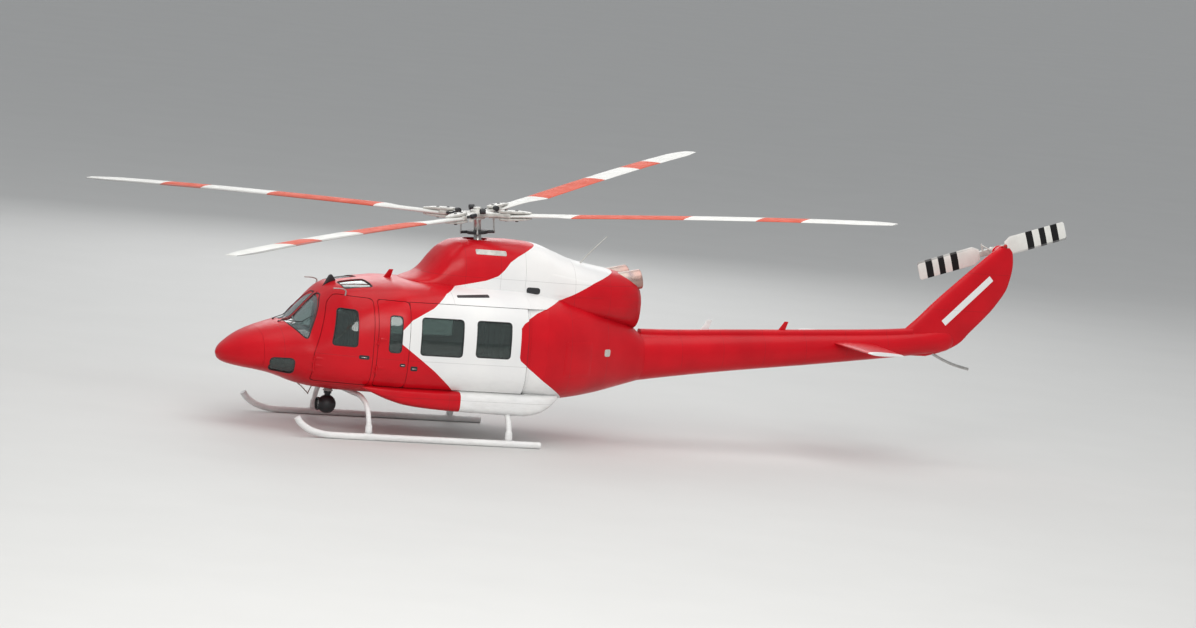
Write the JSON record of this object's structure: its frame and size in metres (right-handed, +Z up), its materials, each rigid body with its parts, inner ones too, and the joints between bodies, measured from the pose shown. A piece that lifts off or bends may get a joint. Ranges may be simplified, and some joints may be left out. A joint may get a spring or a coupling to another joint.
{
  "type": "rescue helicopter",
  "caption": "Medium twin-engined rescue helicopter in red and white, with a hollow cabin, opening doors, turning rotors and high skids.",
  "frame": {"origin": "on the ground under the skids, at the middle of the whole box, rotors included", "axes": "+X towards the nose, +Y towards the left side, +Z up"},
  "size_m": [15.505, 10.7786, 4.1942],
  "materials": {
    "red_paint": "gloss",
    "white_paint": "gloss",
    "glass": "clear",
    "grey_metal": "satin",
    "hot_metal": "heat stained",
    "dark_metal": "matte",
    "cabin_trim": "matte"
  },
  "bodies": {
    "airframe": {"cabin_floor": "red_paint", "nose_section": "red_paint", "aft_bulkhead": "cabin_trim", "cabin_roof": "red_paint", "aft_fuselage": "red_paint", "nose_door": "red_paint", "windscreen_left": "glass", "windscreen_right": "glass", "roof_window_left": "glass", "roof_window_right": "glass", "chin_window_left": "glass", "chin_window_right": "glass", "pylon_fairing": "red_paint", "engine_cowling": "white_paint", "exhaust_left": "hot_metal", "exhaust_right": "hot_metal", "engine_block": "grey_metal", "tail_boom": "red_paint", "tail_fin": "red_paint", "driveshaft_cover": "red_paint", "stabiliser_left": "red_paint", "stabiliser_right": "red_paint", "tail_skid": "grey_metal", "tail_gearbox": "red_paint", "skid_left": "white_paint", "skid_right": "white_paint", "cross_tube_front": "white_paint", "cross_tube_rear": "white_paint", "side_fairing_left": "white_paint", "side_fairing_right": "white_paint", "instrument_panel": "dark_metal", "crew_seat_left": "cabin_trim", "crew_seat_right": "cabin_trim", "cabin_bench": "cabin_trim", "searchlight_mount": "grey_metal"},
    "main_rotor": {"rotor_mast": "grey_metal", "rotor_hub": "dark_metal", "swashplate": "grey_metal", "rotor_blade_1": "white_paint", "rotor_blade_2": "white_paint", "rotor_blade_3": "white_paint", "rotor_blade_4": "white_paint"},
    "tail_rotor": {"tail_rotor": "white_paint"},
    "crew_door_left": {"crew_door_left": "red_paint", "crew_door_glass_left": "glass"},
    "crew_door_right": {"crew_door_right": "red_paint", "crew_door_glass_right": "glass"},
    "hinged_panel_left": {"hinged_panel_left": "red_paint", "hinged_panel_glass_left": "glass"},
    "hinged_panel_right": {"hinged_panel_right": "red_paint", "hinged_panel_glass_right": "glass"},
    "sliding_door_left": {"sliding_door_left": "white_paint", "sliding_door_glass_front_left": "glass", "sliding_door_glass_rear_left": "glass"},
    "sliding_door_right": {"sliding_door_right": "white_paint", "sliding_door_glass_front_right": "glass", "sliding_door_glass_rear_right": "glass"},
    "searchlight": {"searchlight": "dark_metal"}
  },
  "joints": [
    {"name": "main_rotor_spin", "type": "hinge", "parent": "airframe", "child": "main_rotor", "pos_m": [2.374, 0, 3.36], "axis": [0.1149, 0, 0.9934], "continuous": true},
    {"name": "tail_rotor_spin", "type": "hinge", "parent": "airframe", "child": "tail_rotor", "pos_m": [-6.476, -0.42, 3.285], "axis": [0, 1, 0], "continuous": true},
    {"name": "crew_door_left_hinge", "type": "hinge", "parent": "airframe", "child": "crew_door_left", "pos_m": [5.078, 0.966, 1.112], "axis": [0, 0, -1], "range_deg": [0, 75]},
    {"name": "crew_door_right_hinge", "type": "hinge", "parent": "airframe", "child": "crew_door_right", "pos_m": [5.078, -0.966, 1.112], "axis": [0, 0, 1], "range_deg": [0, 75]},
    {"name": "hinged_panel_left_hinge", "type": "hinge", "parent": "airframe", "child": "hinged_panel_left", "pos_m": [4.19, 1.252, 1.48], "axis": [0, 0, -1], "range_deg": [0, 85]},
    {"name": "hinged_panel_right_hinge", "type": "hinge", "parent": "airframe", "child": "hinged_panel_right", "pos_m": [4.19, -1.252, 1.48], "axis": [0, 0, 1], "range_deg": [0, 85]},
    {"name": "sliding_door_left_slide", "type": "slide", "parent": "airframe", "child": "sliding_door_left", "axis": [-1, 0, 0], "range_m": [0, 1.8]},
    {"name": "sliding_door_right_slide", "type": "slide", "parent": "airframe", "child": "sliding_door_right", "axis": [-1, 0, 0], "range_m": [0, 1.8]},
    {"name": "searchlight_pan", "type": "hinge", "parent": "airframe", "child": "searchlight", "pos_m": [4.574, 0.25, 0.375], "axis": [0, 0, 1], "range_deg": [-90, 90]}
  ],
  "couplings": [
    {"joint": "tail_rotor_spin", "follows": "main_rotor_spin", "ratio": 5.1}
  ]
}
